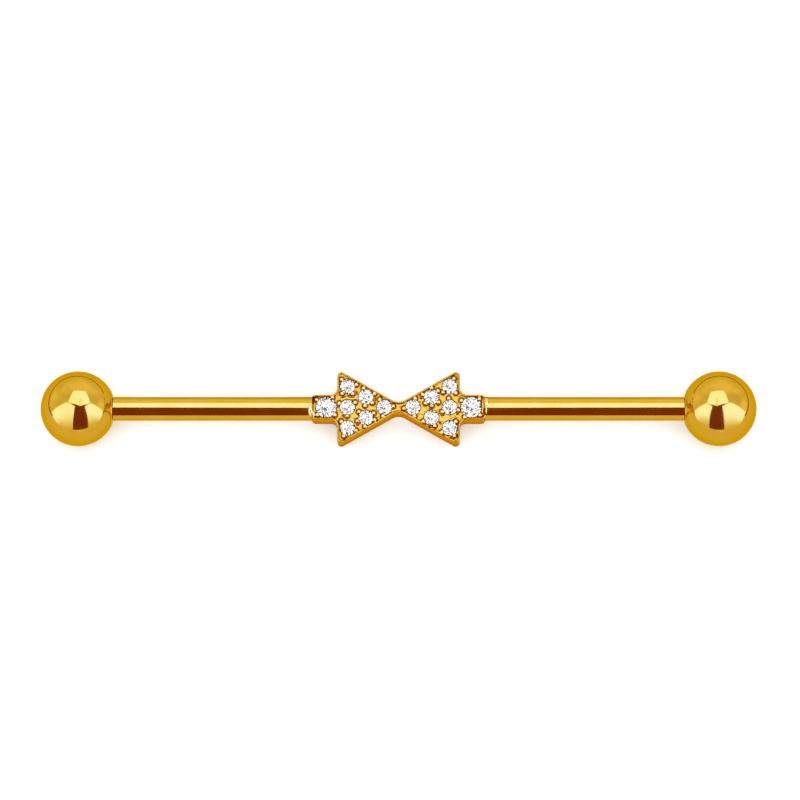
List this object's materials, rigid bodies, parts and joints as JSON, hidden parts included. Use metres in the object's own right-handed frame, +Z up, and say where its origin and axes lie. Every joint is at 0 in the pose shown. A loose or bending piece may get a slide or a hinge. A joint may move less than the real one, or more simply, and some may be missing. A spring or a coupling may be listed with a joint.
{
  "type": "industrial barbell",
  "caption": "Straight gold-coloured body-jewellery bar with a screw-on ball at each end and, in the middle, facing arrowheads set with small round clear stones.",
  "frame": {"origin": "on the surface that the balls rest on, midway between them and under the bar's axis", "axes": "+X along the bar to the right-hand ball, +Y across the bar, +Z up, the way the stones face"},
  "size_m": [0.0476, 0.005, 0.005],
  "materials": {
    "gold_metal": "polished titanium with a yellow gold coating",
    "clear_stone": "clear round-brilliant cubic zirconia"
  },
  "bodies": {
    "shaft": {"barbell_shaft": "gold_metal", "left_tip_stone": "clear_stone", "left_upper_middle_stone": "clear_stone", "left_lower_middle_stone": "clear_stone", "left_upper_corner_stone": "clear_stone", "left_rear_stone": "clear_stone", "left_lower_corner_stone": "clear_stone", "left_neck_stone": "clear_stone", "right_tip_stone": "clear_stone", "right_upper_middle_stone": "clear_stone", "right_lower_middle_stone": "clear_stone", "right_upper_corner_stone": "clear_stone", "right_rear_stone": "clear_stone", "right_lower_corner_stone": "clear_stone", "right_neck_stone": "clear_stone"},
    "left_ball": {"left_ball": "gold_metal"},
    "right_ball": {"right_ball": "gold_metal"}
  },
  "joints": [
    {"name": "left_ball_unscrew", "type": "slide", "parent": "shaft", "child": "left_ball", "axis": [-1, 0, 0], "range_m": [0, 0.01]},
    {"name": "right_ball_unscrew", "type": "slide", "parent": "shaft", "child": "right_ball", "axis": [1, 0, 0], "range_m": [0, 0.01]}
  ]
}
